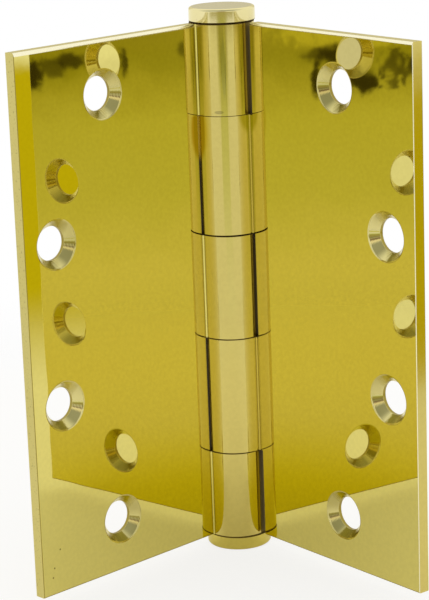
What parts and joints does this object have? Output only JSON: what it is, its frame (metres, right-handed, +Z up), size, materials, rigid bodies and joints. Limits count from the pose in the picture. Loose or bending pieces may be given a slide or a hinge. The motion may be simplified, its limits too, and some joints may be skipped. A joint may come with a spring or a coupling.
{
  "type": "butt hinge",
  "caption": "Polished brass full-mortise butt hinge with interleaved knuckles, flat button tips, a loose pin and countersunk screw holes.",
  "frame": {"origin": "middle of the frame leaf's back face", "axes": "+Z up along the pin, +Y out of the frame leaf's back, +X from the frame leaf towards the barrel"},
  "size_m": [0.0643, 0.0643, 0.1206],
  "materials": {
    "leaf_brass": "polished",
    "tip_brass": "polished",
    "pin_steel": "ground"
  },
  "bodies": {
    "frame_side": {"frame_leaf": "leaf_brass", "bottom_tip": "tip_brass"},
    "door_side": {"door_leaf": "leaf_brass"},
    "pin": {"pin_shank": "pin_steel", "pin_button": "tip_brass"}
  },
  "joints": [
    {"name": "door_swing", "type": "hinge", "parent": "frame_side", "child": "door_side", "pos_m": [0.02857, -0.0036, 0], "axis": [0, 0, 1], "range_deg": [-84.2, 215.8]},
    {"name": "pin_lift", "type": "slide", "parent": "frame_side", "child": "pin", "axis": [0, 0, 1], "range_m": [0, 0.112]}
  ]
}
